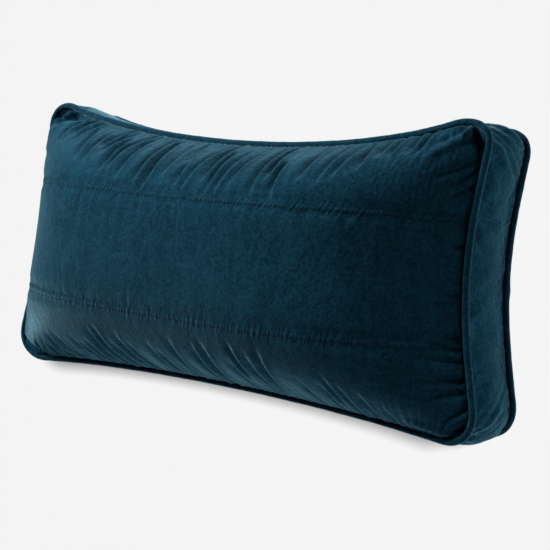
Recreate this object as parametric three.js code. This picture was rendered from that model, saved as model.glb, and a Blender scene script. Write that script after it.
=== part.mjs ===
// A boxed velvet body pillow lying on its back: one filled cushion with a crowned front
// face of three seamed strips, a straight boxing band and a back panel pressed flat by the
// surface it lies on, and two corded welts, one round each panel.
// Millimetres. +X runs along the length, +Y up the face, +Z out of the front face.

import * as THREE from 'three';

// Driving dimensions
const LENGTH = 914;
const WIDTH = 456;
const BAND_DEPTH = 99;
const CORNER_RADIUS = 61;
const FRONT_CROWN = 131;
const FRONT_DOME = 7;
const BACK_CROWN = 112;
const BACK_HEIGHT = 72;
const CONTACT_EASE = 8;
const BAND_BULGE = { straight: 5.8, corner: 5.5 };
const WELT_RADIUS = 4.9;
const WELT_GAP = 0.35;
const WELT_JOIN = { side: 'back', x: 457, y: -12, reach: 9, swell: 1.1 };
const SEAM_WIDTH = 9;
const SEAM_DEPTH = 2.6;
const FOLD_START = 14;

// A crown rises as a product of two of these profiles, one along the length and one up
// the face: nearly level in the middle and steep towards the welt. The front has a low
// dome on top of that, and is fuller at its left end, where it hides the welt.
const CROWN = { alongPower: 4.0, leftPower: 4.7, acrossPower: 4.6, fullness: 1.1 };

// How far the middle of each edge is drawn in by the filling, how sharply that grows from
// the corners, how much more it is towards the edge's + end, and how far the same middle
// bows forward (+) or back (-).
const EDGES = {
  top: { drawnIn: 69, power: 0.66, skew: 0.09, bow: 3 },
  bottom: { drawnIn: 23.3, power: 0.73, skew: -0.08, bow: -31 },
  left: { drawnIn: 31.3, power: 1.6, skew: -0.07, bow: 6.6 },
  right: { drawnIn: 28.6, power: 1.63, skew: 0, bow: -0.7 },
};

// Each corner's own pull out of square: along X, along Y and forward.
const CORNERS = [
  { u: 1, v: 1, dx: -5.3, dy: 1.9, dz: 7.6 },
  { u: -1, v: 1, dx: 8.5, dy: 4, dz: -15 },
  { u: -1, v: -1, dx: -2.6, dy: -2.8, dz: 5.7 },
  { u: 1, v: -1, dx: 11.5, dy: 7.2, dz: -3.8 },
];

// The back welt's corners are pulled further in, close to the corner only.
const BACK_CORNERS = [
  { u: 1, v: 1, dx: -4.3, dy: -2.1 },
  { u: -1, v: 1, dx: 1.8, dy: -11 },
  { u: -1, v: -1, dx: 2, dy: 4.1 },
  { u: 1, v: -1, dx: -1.8, dy: 6 },
];

// The filling doesn't reach into the front panel's corners. Each is slack over a triangle
// this long beside the top or bottom welt and this tall beside the end one.
const SLACK_CORNERS = [
  { u: -1, v: 1, long: 119, tall: 50 },
  { u: -1, v: -1, long: 82, tall: 36 },
  { u: 1, v: 1, long: 34, tall: 76 },
  { u: 1, v: -1, long: 55, tall: 40 },
];

// The two flat seams between the strips, as shares of the half width at mid length and
// at the ends. The seams bow apart because the crown lifts their middles.
const SEAMS = {
  upper: { middle: 0.45, end: 0.345 },
  lower: { middle: 0.49, end: 0.395 },
  power: 2.7,
};

// Folds of the front panel. at: place along the edge, -1 to 1. lean: how far that place
// has moved where the fold dies out. reach, half width and depth are in mm.
const FOLDS = [
  { edge: 'top', at: -0.62, lean: 0.03, reach: 95, half: 13, depth: 2.4 },
  { edge: 'top', at: -0.5, lean: 0.04, reach: 105, half: 12, depth: 2.6 },
  { edge: 'top', at: -0.405, lean: 0.02, reach: 115, half: 12, depth: 3.2 },
  { edge: 'top', at: -0.315, lean: 0.04, reach: 130, half: 13, depth: 4.2 },
  { edge: 'top', at: -0.205, lean: 0.07, reach: 140, half: 14, depth: 6.5 },
  { edge: 'top', at: -0.07, lean: 0.03, reach: 105, half: 13, depth: 2.6 },
  { edge: 'top', at: 0.07, lean: 0.07, reach: 135, half: 14, depth: 6.0 },
  { edge: 'top', at: 0.2, lean: 0.04, reach: 110, half: 13, depth: 2.8 },
  { edge: 'top', at: 0.335, lean: 0.06, reach: 120, half: 14, depth: 5.6 },
  { edge: 'top', at: 0.49, lean: 0.03, reach: 95, half: 13, depth: 3.0 },
  { edge: 'top', at: 0.635, lean: 0.02, reach: 85, half: 13, depth: 3.8 },
  { edge: 'top', at: 0.765, lean: 0.0, reach: 70, half: 12, depth: 3.0 },
  { edge: 'bottom', at: -0.69, lean: -0.05, reach: 70, half: 12, depth: 2.6 },
  { edge: 'bottom', at: -0.52, lean: 0.02, reach: 85, half: 12, depth: 2.6 },
  { edge: 'bottom', at: -0.395, lean: 0.05, reach: 105, half: 13, depth: 5.0 },
  { edge: 'bottom', at: -0.28, lean: 0.05, reach: 95, half: 12, depth: 3.2 },
  { edge: 'bottom', at: -0.03, lean: 0.06, reach: 105, half: 13, depth: 3.6 },
  { edge: 'bottom', at: 0.08, lean: 0.08, reach: 105, half: 13, depth: 4.6 },
  { edge: 'bottom', at: 0.28, lean: 0.06, reach: 85, half: 13, depth: 3.0 },
  { edge: 'bottom', at: 0.46, lean: 0.05, reach: 75, half: 13, depth: 2.6 },
  { edge: 'bottom', at: 0.62, lean: 0.03, reach: 65, half: 12, depth: 3.0 },
  { edge: 'right', at: 0.62, lean: -0.02, reach: 55, half: 14, depth: 2.6 },
  { edge: 'right', at: -0.48, lean: 0.0, reach: 75, half: 15, depth: 2.6 },
  { edge: 'right', at: -0.76, lean: -0.05, reach: 60, half: 15, depth: 3.0 },
  { edge: 'left', at: 0.78, lean: -0.06, reach: 75, half: 15, depth: 3.4 },
  { edge: 'left', at: -0.8, lean: 0.04, reach: 60, half: 15, depth: 3.0 },
];
const BACK_FOLD_SHARE = 0.6;

// Facets
const COLUMNS = 84;
const STRIP_ROWS = 7;
const MIDDLE_ROWS = 8;
const BAND_SHARES = [0.33, 0.67];
const WELT_SIDES = 7;

const HALF_LENGTH = LENGTH / 2;
const HALF_WIDTH = WIDTH / 2;
const ROWS = 2 * STRIP_ROWS + MIDDLE_ROWS + 2;
const FRONT = 1;
const BACK = -1;

const smoothstep = (low, high, x) => THREE.MathUtils.smoothstep(x, low, high);

// Where the seam lies at this place along the length, as a share of the half width.
function seamShare(seam, u) {
  return seam.end + (seam.middle - seam.end) * (1 - Math.abs(u) ** SEAMS.power);
}

// The rows of the front grid follow the two seams, so each seam has a row on either side.
function rowShares(u) {
  const half = SEAM_WIDTH / 2 / HALF_WIDTH;
  const lower = -seamShare(SEAMS.lower, u);
  const upper = seamShare(SEAMS.upper, u);
  const stops = [-1, lower - half, lower + half, upper - half, upper + half, 1];
  const counts = [STRIP_ROWS, 1, MIDDLE_ROWS, 1, STRIP_ROWS];
  const shares = [-1];
  counts.forEach((count, k) => {
    for (let n = 1; n <= count; n += 1) {
      shares.push(THREE.MathUtils.lerp(stops[k], stops[k + 1], n / count));
    }
  });
  return shares;
}

// A square patch becomes a quarter disc, so the four corners of the outline are arcs.
function roundCorner(x, y) {
  const overX = Math.abs(x) - (HALF_LENGTH - CORNER_RADIUS);
  const overY = Math.abs(y) - (HALF_WIDTH - CORNER_RADIUS);
  if (overX <= 0 || overY <= 0) return [x, y];
  const shareX = overX / CORNER_RADIUS;
  const shareY = overY / CORNER_RADIUS;
  const cutX = overX * (1 - Math.sqrt(1 - shareY ** 2 / 2));
  const cutY = overY * (1 - Math.sqrt(1 - shareX ** 2 / 2));
  return [x - Math.sign(x) * cutX, y - Math.sign(y) * cutY];
}

// The surface one welt lies in at (u, v), with drawn-in edges, bows and pulled corners.
function weltSheet(side, u, v) {
  const [x, y] = roundCorner(u * HALF_LENGTH, v * HALF_WIDTH);
  const across = y / HALF_WIDTH;
  const along = x / HALF_LENGTH;
  const edgeY = across > 0 ? EDGES.top : EDGES.bottom;
  const edgeX = along > 0 ? EDGES.right : EDGES.left;
  const weightY = Math.max(1 - along ** 2, 0) ** edgeY.power;
  const weightX = Math.max(1 - across ** 2, 0) ** edgeX.power;
  const point = new THREE.Vector3(
    x - edgeX.drawnIn * weightX * (1 + edgeX.skew * across) * along,
    y - edgeY.drawnIn * weightY * (1 + edgeY.skew * along) * across,
    edgeY.bow * weightY * Math.abs(across) ** 3 + edgeX.bow * weightX * Math.abs(along) ** 3,
  );
  for (const corner of CORNERS) {
    const share = ((1 + corner.u * along) * (1 + corner.v * across) / 4) ** 2;
    point.x += corner.dx * share;
    point.y += corner.dy * share;
    point.z += corner.dz * share;
  }
  if (side === BACK) {
    for (const corner of BACK_CORNERS) {
      const share = ((1 + corner.u * along) * (1 + corner.v * across) / 4) ** 3;
      point.x += corner.dx * share;
      point.y += corner.dy * share;
    }
  }
  return point;
}

// How much of the crown is left in the slack corners: none at the corner itself.
function filledShare(u, v) {
  return SLACK_CORNERS.reduce((share, corner) => {
    const inX = (1 - corner.u * u) * HALF_LENGTH / corner.long;
    const inY = (1 - corner.v * v) * HALF_WIDTH / corner.tall;
    return share * smoothstep(0.8, 1.2, inX + inY);
  }, 1);
}

function crownShare(side, u, v) {
  const power = side === FRONT && u < 0 ? CROWN.leftPower : CROWN.alongPower;
  const along = Math.max(1 - Math.abs(u) ** power, 0);
  const across = Math.max(1 - Math.abs(v) ** CROWN.acrossPower, 0);
  return (along * across) ** CROWN.fullness;
}

// Smooth panel, before folds and seams. The back one eases into the surface at height 0.
function panelPoint(side, u, v) {
  const point = weltSheet(side, u, v);
  if (side === FRONT) {
    point.z += BACK_HEIGHT + BAND_DEPTH;
    point.z += FRONT_CROWN * crownShare(FRONT, u, v) * filledShare(u, v);
    point.z += FRONT_DOME * Math.max(1 - u ** 2, 0) * Math.max(1 - v ** 2, 0);
    return point;
  }
  const height = point.z + BACK_HEIGHT - BACK_CROWN * crownShare(BACK, u, v);
  point.z = height;
  if (height < CONTACT_EASE) {
    const left = Math.max(height + CONTACT_EASE, 0);
    point.z = left ** 2 / (4 * CONTACT_EASE);
  }
  return point;
}

// Height of the folds at (u, v): a trough between two low shoulders for each fold.
function foldHeight(u, v) {
  let height = 0;
  for (const fold of FOLDS) {
    const upright = fold.edge === 'top' || fold.edge === 'bottom';
    const sign = fold.edge === 'top' || fold.edge === 'right' ? 1 : -1;
    const inward = upright ? (1 - sign * v) * HALF_WIDTH : (1 - sign * u) * HALF_LENGTH;
    if (inward > fold.reach) continue;
    const lean = fold.lean * inward / fold.reach;
    const aside = upright
      ? (u - fold.at - lean) * HALF_LENGTH
      : (v - fold.at - lean) * HALF_WIDTH;
    const q = (aside / fold.half) ** 2;
    const fade = smoothstep(0, FOLD_START, inward) * (1 - smoothstep(0.35, 1, inward / fold.reach));
    height -= fold.depth * fade * (1 - q) * Math.exp(-q / 2);
  }
  return height;
}

function seamHeight(u, v) {
  const reach = 2.4 * SEAM_WIDTH;
  const upper = Math.abs(v - seamShare(SEAMS.upper, u)) * HALF_WIDTH;
  const lower = Math.abs(v + seamShare(SEAMS.lower, u)) * HALF_WIDTH;
  const nearest = Math.min(upper, lower);
  return -SEAM_DEPTH * (1 - smoothstep(SEAM_WIDTH / 2, reach, nearest));
}

// The finished panel: the smooth one moved along its own outward normal.
function dressedPoint(side, u, v) {
  const step = 0.004;
  const point = panelPoint(side, u, v);
  const alongX = panelPoint(side, u + step, v).sub(panelPoint(side, u - step, v));
  const alongY = panelPoint(side, u, v + step).sub(panelPoint(side, u, v - step));
  const normal = alongX.cross(alongY).normalize().multiplyScalar(side);
  if (side === FRONT) {
    return point.addScaledVector(normal, foldHeight(u, v) + seamHeight(u, v));
  }
  if (point.z === 0) return point;
  point.addScaledVector(normal, BACK_FOLD_SHARE * foldHeight(-u, v));
  point.z = Math.max(point.z, 0);
  return point;
}

const columnShare = (i) => 2 * i / COLUMNS - 1;

// Grid places round the rim, anticlockwise seen from the front.
function rimPlaces() {
  const places = [];
  for (let j = 0; j < ROWS; j += 1) places.push([COLUMNS, j]);
  for (let i = COLUMNS; i > 0; i -= 1) places.push([i, ROWS]);
  for (let j = ROWS; j > 0; j -= 1) places.push([0, j]);
  for (let i = 0; i < COLUMNS; i += 1) places.push([i, 0]);
  return places;
}

const RIM = rimPlaces();

// Stations along one welt: its centre, the level direction out of the pillow and the
// cord's radius, which swells where the two ends of the cord's cover overlap.
function weltStations(side) {
  const centres = RIM.map(([i, j]) => {
    const u = columnShare(i);
    return panelPoint(side, u, rowShares(u)[j]);
  });
  return centres.map((centre, k) => {
    const before = centres[(k + centres.length - 1) % centres.length];
    const after = centres[(k + 1) % centres.length];
    const outward = new THREE.Vector3(after.y - before.y, before.x - after.x, 0).normalize();
    let radius = WELT_RADIUS;
    if (side === BACK && centre.x > 0) {
      const away = (centre.y - WELT_JOIN.y) / WELT_JOIN.reach;
      radius += WELT_JOIN.swell * Math.exp(-(away ** 2));
    }
    return { centre, outward, radius };
  });
}

// A point beside a station, at an angle from outward (0) towards the front (90 degrees).
function besideWelt(station, distance, degrees) {
  const angle = THREE.MathUtils.degToRad(degrees);
  return station.centre.clone()
    .addScaledVector(station.outward, distance * Math.cos(angle))
    .add(new THREE.Vector3(0, 0, distance * Math.sin(angle)));
}

// Angle, at a station, of the groove's bottom: midway between the panel and the band.
function grooveAngle(side, station, inner) {
  const offset = inner.clone().sub(station.centre);
  const inwards = -offset.dot(station.outward);
  const slope = THREE.MathUtils.radToDeg(Math.atan2(side * offset.z, inwards));
  return side * (225 - slope / 2);
}

function clampIndex(n, limit) {
  return Math.min(Math.max(n, 1), limit - 1);
}

function meshGeometry(points, faces) {
  const geometry = new THREE.BufferGeometry();
  const numbers = points.flatMap((point) => [point.x, point.y, point.z]);
  geometry.setAttribute('position', new THREE.Float32BufferAttribute(numbers, 3));
  geometry.setIndex(faces.flat());
  geometry.computeVertexNormals();
  return geometry;
}

// The cushion: two panel grids whose rims run round the welts, joined by the rings of
// the two grooves and of the band between them.
function cushionGeometry() {
  const points = [];
  const faces = [];
  const rings = [];
  const addPoint = (point) => points.push(point) - 1;
  const grids = {};

  for (const side of [FRONT, BACK]) {
    const stations = weltStations(side);
    const grid = [];
    for (let i = 0; i <= COLUMNS; i += 1) {
      const u = columnShare(i);
      const shares = rowShares(u);
      grid.push(shares.map((v, j) => {
        const inside = i > 0 && i < COLUMNS && j > 0 && j < ROWS;
        return inside ? addPoint(dressedPoint(side, u, v)) : null;
      }));
    }
    const rim = [];
    const bottom = [];
    const bandEdge = [];
    RIM.forEach(([i, j], k) => {
      const station = stations[k];
      const inner = points[grid[clampIndex(i, COLUMNS)][clampIndex(j, ROWS)]];
      const middle = grooveAngle(side, station, inner);
      const distance = (station.radius + WELT_GAP) / Math.cos(Math.PI / 8);
      grid[i][j] = addPoint(besideWelt(station, distance, middle - side * 45));
      rim.push(grid[i][j]);
      bottom.push(addPoint(besideWelt(station, distance, middle)));
      bandEdge.push(addPoint(besideWelt(station, distance, middle + side * 45)));
    });
    grids[side] = grid;
    rings.push(side === FRONT ? [rim, bottom, bandEdge] : [bandEdge, bottom, rim]);
  }

  const stations = weltStations(FRONT);
  const frontEdge = rings[0][2];
  const backEdge = rings[1][0];
  const bandRings = BAND_SHARES.map((share) => RIM.map((place, k) => {
    const point = points[frontEdge[k]].clone().lerp(points[backEdge[k]], share);
    const nearCorner = Math.abs(point.x * point.y / (HALF_LENGTH * HALF_WIDTH)) ** 4;
    const bulge = BAND_BULGE.straight + BAND_BULGE.corner * nearCorner;
    return addPoint(point.addScaledVector(stations[k].outward, bulge * Math.sin(Math.PI * share)));
  }));

  const wall = [...rings[0], ...bandRings, ...rings[1]];
  for (let n = 0; n + 1 < wall.length; n += 1) {
    RIM.forEach((place, k) => {
      const next = (k + 1) % RIM.length;
      const [a, b, c, d] = [wall[n][k], wall[n + 1][k], wall[n + 1][next], wall[n][next]];
      faces.push([a, b, c], [a, c, d]);
    });
  }
  for (let i = 0; i < COLUMNS; i += 1) {
    for (let j = 0; j < ROWS; j += 1) {
      for (const side of [FRONT, BACK]) {
        const grid = grids[side];
        const [a, b, c, d] = [grid[i][j], grid[i + 1][j], grid[i + 1][j + 1], grid[i][j + 1]];
        const quad = side === FRONT ? [[a, b, c], [a, c, d]] : [[a, c, b], [a, d, c]];
        faces.push(...quad);
      }
    }
  }
  return meshGeometry(points, faces);
}

// A welt: a cord in its bias-cut cover, one closed ring with a round section.
function weltGeometry(side) {
  const stations = weltStations(side);
  const points = [];
  const faces = [];
  for (const station of stations) {
    for (let n = 0; n < WELT_SIDES; n += 1) {
      points.push(besideWelt(station, station.radius, 360 * n / WELT_SIDES));
    }
  }
  stations.forEach((station, k) => {
    const here = k * WELT_SIDES;
    const ahead = ((k + 1) % stations.length) * WELT_SIDES;
    for (let n = 0; n < WELT_SIDES; n += 1) {
      const next = (n + 1) % WELT_SIDES;
      faces.push([here + n, ahead + n, ahead + next], [here + n, ahead + next, here + next]);
    }
  });
  return meshGeometry(points, faces);
}

const velvet = new THREE.MeshStandardMaterial({ color: 0x1d4a5e, roughness: 0.92, metalness: 0 });
const weltVelvet = new THREE.MeshStandardMaterial({ color: 0x17414f, roughness: 0.9, metalness: 0 });

function namedMesh(name, geometry, material) {
  const mesh = new THREE.Mesh(geometry, material);
  mesh.name = name;
  return mesh;
}

const pillow = new THREE.Group();
pillow.add(
  namedMesh('cushion', cushionGeometry(), velvet),
  namedMesh('front_welt', weltGeometry(FRONT), weltVelvet),
  namedMesh('back_welt', weltGeometry(BACK), weltVelvet.clone()),
);

// The origin is the middle of the footprint, on the surface the pillow lies on.
const middle = new THREE.Box3().setFromObject(pillow).getCenter(new THREE.Vector3());
for (const mesh of pillow.children) mesh.geometry.translate(-middle.x, -middle.y, 0);

export default pillow;
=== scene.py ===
"""A boxed velvet body pillow lying on its back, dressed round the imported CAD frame.

Everything is in metres in the frame's own axes: +X along the pillow, +Y up its face and
+Z out of the face. The shapes are worked out in millimetres and scaled once.
"""

import math

import bpy
import numpy as np
from mathutils import Matrix, Vector
from mathutils.kdtree import KDTree


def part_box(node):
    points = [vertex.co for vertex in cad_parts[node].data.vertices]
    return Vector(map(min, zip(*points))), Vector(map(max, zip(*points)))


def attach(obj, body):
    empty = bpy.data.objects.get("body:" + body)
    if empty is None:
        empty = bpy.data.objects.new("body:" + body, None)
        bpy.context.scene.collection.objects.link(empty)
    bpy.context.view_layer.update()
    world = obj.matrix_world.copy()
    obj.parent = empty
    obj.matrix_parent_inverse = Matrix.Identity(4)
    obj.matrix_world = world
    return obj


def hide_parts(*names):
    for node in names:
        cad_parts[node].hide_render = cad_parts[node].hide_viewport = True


bl_info = {
    "name": "Velvet Body Pillow",
    "version": (1, 0, 0),
    "blender": (4, 5, 0),
    "location": "3D View > Sidebar > Pillow",
    "description": "Makes a boxed velvet body pillow with corded welts round its CAD frame",
    "category": "Add Mesh",
}

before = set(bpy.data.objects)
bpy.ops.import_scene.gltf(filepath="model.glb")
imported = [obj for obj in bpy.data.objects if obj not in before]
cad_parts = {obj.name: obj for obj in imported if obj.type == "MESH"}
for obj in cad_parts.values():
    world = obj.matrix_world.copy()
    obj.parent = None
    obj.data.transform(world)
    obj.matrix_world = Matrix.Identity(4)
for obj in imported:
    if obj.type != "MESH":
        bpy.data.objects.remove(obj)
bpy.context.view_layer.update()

MM = 0.001
FRONT, BACK = 1, -1

# Sizes of the sewn cover, in millimetres, as in the CAD source.
LENGTH = 914.0
WIDTH = 456.0
BAND_DEPTH = 99.0
CORNER_RADIUS = 61.0
FRONT_CROWN = 131.0
FRONT_DOME = 7.0
BACK_CROWN = 112.0
BACK_HEIGHT = 72.0
CONTACT_EASE = 8.0
BAND_BULGE, CORNER_BULGE = 5.8, 5.5
WELT_RADIUS = 4.9
WELT_GAP = 0.35
HALF_LENGTH = LENGTH / 2
HALF_WIDTH = WIDTH / 2

# The crown's profile along the pillow and up it, and how full it is. The front is fuller at
# its left end, where it hides the welt.
CROWN_ALONG, CROWN_LEFT, CROWN_ACROSS, CROWN_FULLNESS = 4.0, 4.7, 4.6, 1.1

# How far each edge's middle is drawn in, how fast that grows from the corners, how much
# more it is towards the edge's + end, and how far the middle bows forward.
TOP_EDGE = {"drawn_in": 69.0, "power": 0.66, "skew": 0.09, "bow": 3.0}
BOTTOM_EDGE = {"drawn_in": 23.3, "power": 0.73, "skew": -0.08, "bow": -31.0}
LEFT_EDGE = {"drawn_in": 31.3, "power": 1.6, "skew": -0.07, "bow": 6.6}
RIGHT_EDGE = {"drawn_in": 28.6, "power": 1.63, "skew": 0.0, "bow": -0.7}

# Each corner's pull out of square: its side in u and v, then along X, Y and Z.
CORNER_PULLS = [
    (1, 1, -5.3, 1.9, 7.6),
    (-1, 1, 8.5, 4.0, -15.0),
    (-1, -1, -2.6, -2.8, 5.7),
    (1, -1, 11.5, 7.2, -3.8),
]

# The back welt's corners are pulled further in: along X and Y.
BACK_CORNER_PULLS = [
    (1, 1, -4.3, -2.1),
    (-1, 1, 1.8, -11.0),
    (-1, -1, 2.0, 4.1),
    (1, -1, -1.8, 6.0),
]

# The front's corners are slack over a triangle: its side in u and v, how long it is beside
# the top or bottom welt and how tall beside the end one.
SLACK_CORNERS = [
    (-1, 1, 119.0, 50.0),
    (-1, -1, 82.0, 36.0),
    (1, 1, 34.0, 76.0),
    (1, -1, 55.0, 40.0),
]

# How far the cloth lies flat beside the welt at the left, right, bottom and top.
SEWN_FLAT = (14.0, 6.0, 8.0, 12.0)

# The band's gathers fan out of its corners, from the bottom right one anticlockwise: which
# way they lean (1 is anticlockwise) and how full they are.
BAND_FANS = ((1, 1.0), (-1, 1.6), (1, 0.15), (-1, 0.3))

# The two flat seams, as shares of the half width at mid length and at the ends.
UPPER_SEAM = (0.45, 0.345)
LOWER_SEAM = (-0.49, -0.395)
SEAM_POWER = 2.7
STITCH_ROWS_APART = 9.0
SEAM_DEPTH = 1.7

# Gathers that run in from the edges of the front panel, each a trough with a crest on its +
# side. Columns: the trough's place along the edge (-1 to 1) at the start, halfway and at the
# end, how far from the edge it starts and ends, half width and depth.
TOP_FOLDS = [
    (-0.85, -0.88, -0.87, 14, 70, 7, 5.6),
    (-0.74, -0.775, -0.765, 8, 66, 7, 6.8),
    (-0.685, -0.715, -0.705, 3, 46, 7, 9.0),
    (-0.645, -0.665, -0.675, 6, 56, 6, 6.2),
    (-0.615, -0.585, -0.56, 22, 84, 6, 6.8),
    (-0.545, -0.525, -0.51, 22, 88, 7, 8.1),
    (-0.47, -0.495, -0.49, 6, 52, 6.5, 9.0),
    (-0.44, -0.455, -0.45, 16, 62, 6, 5.7),
    (-0.41, -0.40, -0.385, 24, 98, 6.5, 9.2),
    (-0.345, -0.365, -0.35, 4, 100, 7, 10.4),
    (-0.315, -0.295, -0.29, 20, 112, 6, 7.4),
    (-0.245, -0.205, -0.195, 8, 124, 6.5, 8.3),
    (-0.20, -0.145, -0.155, 12, 128, 8, 12.5),
    (-0.12, -0.085, -0.075, 16, 92, 6, 4.9),
    (-0.075, -0.045, -0.035, 8, 66, 6, 4.9),
    (-0.03, 0.00, 0.005, 34, 116, 6, 6.5),
    (0.03, 0.045, 0.05, 12, 126, 5.5, 5.6),
    (0.062, 0.098, 0.115, 5, 98, 7.5, 11.7),
    (0.12, 0.15, 0.15, 28, 126, 6, 8.1),
    (0.165, 0.19, 0.195, 20, 124, 6, 6.2),
    (0.215, 0.235, 0.235, 12, 112, 6, 5.7),
    (0.285, 0.325, 0.35, 10, 126, 6.5, 9.4),
    (0.32, 0.352, 0.375, 5, 86, 6.5, 11.6),
    (0.395, 0.415, 0.43, 46, 128, 6, 7.4),
    (0.455, 0.485, 0.495, 8, 90, 6.5, 7.7),
    (0.535, 0.555, 0.565, 8, 96, 6, 5.6),
    (0.585, 0.597, 0.60, 8, 88, 6, 6.2),
    (0.62, 0.65, 0.665, 8, 70, 6.5, 8.6),
    (0.675, 0.685, 0.70, 8, 46, 6, 6.2),
    (0.715, 0.72, 0.73, 5, 48, 6, 6.0),
    (0.765, 0.775, 0.78, 4, 44, 6, 6.0),
    (0.81, 0.807, 0.81, 3, 50, 6, 7.4),
]
BOTTOM_FOLDS = [
    (-0.835, -0.86, -0.86, 4, 34, 6, 3.4),
    (-0.755, -0.775, -0.78, 4, 34, 6, 3.0),
    (-0.69, -0.715, -0.71, 4, 54, 6.5, 5.4),
    (-0.63, -0.65, -0.655, 4, 56, 7, 4.2),
    (-0.585, -0.56, -0.545, 14, 58, 6, 3.8),
    (-0.54, -0.53, -0.52, 6, 48, 6, 3.4),
    (-0.495, -0.485, -0.47, 6, 56, 6, 4.2),
    (-0.45, -0.425, -0.405, 6, 78, 6.5, 6.4),
    (-0.41, -0.38, -0.37, 4, 84, 7, 8.6),
    (-0.355, -0.335, -0.325, 8, 60, 6, 3.8),
    (-0.305, -0.285, -0.27, 4, 78, 6.5, 5.6),
    (-0.27, -0.25, -0.235, 8, 62, 6.5, 5.2),
    (-0.185, -0.15, -0.12, 8, 72, 6, 4.2),
    (-0.14, -0.12, -0.10, 8, 58, 6.5, 4.6),
    (-0.08, -0.03, 0.0, 4, 84, 6.5, 6.4),
    (0.025, 0.07, 0.105, 4, 84, 6.5, 6.4),
    (0.075, 0.125, 0.15, 4, 90, 7, 7.6),
    (0.19, 0.215, 0.235, 8, 68, 6, 3.6),
    (0.255, 0.27, 0.28, 36, 100, 5.5, 3.4),
    (0.28, 0.31, 0.33, 8, 86, 6, 4.8),
    (0.335, 0.37, 0.395, 14, 100, 6, 4.6),
    (0.46, 0.478, 0.485, 8, 56, 6, 4.2),
    (0.535, 0.55, 0.56, 8, 58, 6, 4.0),
    (0.58, 0.588, 0.595, 26, 76, 5.5, 3.4),
    (0.60, 0.615, 0.625, 4, 60, 6, 6.0),
    (0.66, 0.672, 0.68, 4, 52, 6, 4.6),
    (0.725, 0.73, 0.735, 4, 30, 5.5, 3.4),
]
RIGHT_FOLDS = [
    (0.66, 0.60, 0.57, 3, 40, 4.5, 2.2),
    (0.56, 0.52, 0.50, 3, 36, 4.5, 2.0),
    (0.20, 0.19, 0.185, 3, 26, 4.5, 1.8),
    (-0.10, -0.105, -0.11, 3, 24, 4.5, 1.6),
    (-0.345, -0.35, -0.355, 8, 34, 5, 2.4),
    (-0.42, -0.41, -0.405, 8, 40, 5, 2.4),
    (-0.485, -0.49, -0.50, 3, 62, 5, 2.6),
    (-0.58, -0.60, -0.61, 3, 40, 5, 2.0),
]
LEFT_FOLDS = [
    (0.60, 0.57, 0.56, 3, 60, 8, 2.2),
    (0.20, 0.19, 0.18, 3, 40, 8, 1.6),
    (-0.30, -0.29, -0.28, 3, 40, 8, 1.6),
]
EDGE_FOLDS = {
    "top": TOP_FOLDS,
    "bottom": BOTTOM_FOLDS,
    "right": RIGHT_FOLDS,
    "left": LEFT_FOLDS,
}

# Short gathers between those: edge, pitch, longest reach, greatest depth and slant.
FINE_GATHERS = [
    ("top", 9.0, 80.0, 1.2, 0.22),
    ("bottom", 8.0, 60.0, 1.2, -0.5),
    ("right", 8.5, 15.0, 2.0, 0.0),
    ("left", 16.0, 26.0, 0.4, 0.0),
]

# Tucks at the corners of the front panel. Columns: u and v of the start, heading in
# degrees, length, half width, depth (a negative depth is a ridge).
CORNER_TUCKS = [
    # top left: a ridge and two hollows across the slack corner, a broad swell down the end
    # and a short ridge down from the welt
    (-1.0, 0.80, 32, 130, 5.0, -8.5),
    (-0.98, 0.87, 32, 80, 8.0, 5.5),
    (-0.945, 0.85, 20, 110, 7.0, 6.5),
    (-0.955, 0.80, -92, 120, 20, -5.0),
    (-0.90, 1.0, -125, 34, 4.5, -4.0),
    # top right: a hooked ridge round a deep hollow, and folds that run out of it
    (0.932, 0.87, 80, 40, 5.0, -8.0),
    (0.974, 0.985, -80, 52, 4.5, -5.0),
    (0.970, 0.95, -80, 52, 4.4, 3.9),
    (0.945, 0.90, 212, 66, 8, -3.6),
    (0.93, 0.955, 206, 52, 6, 3.2),
    (0.99, 0.70, 200, 60, 6, 2.4),
    # bottom right: a fan out of the corner
    (0.99, -0.758, 216, 52, 5, 2.2),
    (0.99, -0.81, 214, 50, 5.5, -1.5),
    (0.985, -0.883, 211, 52, 4.2, 1.6),
    (0.985, -0.66, 200, 58, 5, 2.8),
    (0.985, -0.60, 190, 62, 5, 2.2),
    (0.955, -0.945, 177, 96, 5.0, -3.6),
    # bottom left: the slack corner has one ridge along it
    (-1.0, -0.90, -19, 70, 5.0, -6.5),
]

# Creases beside the flat seams. Columns: seam, side of it, longest reach, slant, greatest
# depth, half width and longest step.
SEAM_CREASES = [
    (UPPER_SEAM, -1, 36.0, -0.35, 0.7, 3.4, 15.0),
    (UPPER_SEAM, 1, 22.0, 0.2, 0.7, 3.4, 15.0),
    (LOWER_SEAM, 1, 14.0, 0.0, 0.7, 3.4, 15.0),
    (LOWER_SEAM, -1, 22.0, 0.2, 0.7, 3.4, 15.0),
    (UPPER_SEAM, -1, 95.0, -0.08, 1.3, 9.0, 34.0),
    (LOWER_SEAM, 1, 60.0, -0.05, 1.0, 8.0, 38.0),
]

# The two stitch rows of a seam: their places off it, as shares of how far apart they are,
# and how deep they sink. Then their half width and the lengths over which the depth varies.
STITCH_ROWS = ((-0.5, 0.36), (0.5, 0.32))
ROW_HALF_WIDTH, ROW_WAVE, ROW_WANDER = 1.1, 37.0, 23.0

# Puckers between the rows: how far apart and how far either side they reach, how high they
# stand on average, how much they rise and fall, and the length over which that varies.
PUCKER_PITCH, PUCKER_REACH, PUCKER_LIFT, PUCKER_SWELL, PUCKER_WAVE = 6.6, 3.2, 0.3, 0.5, 71.0

# The finer puckers that the velvet's finish shows beside the seams: slant, width and length.
DRAWN_SLANT, DRAWN_WIDTH, DRAWN_LENGTH = 0.35, 5.5, 40.0

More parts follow.
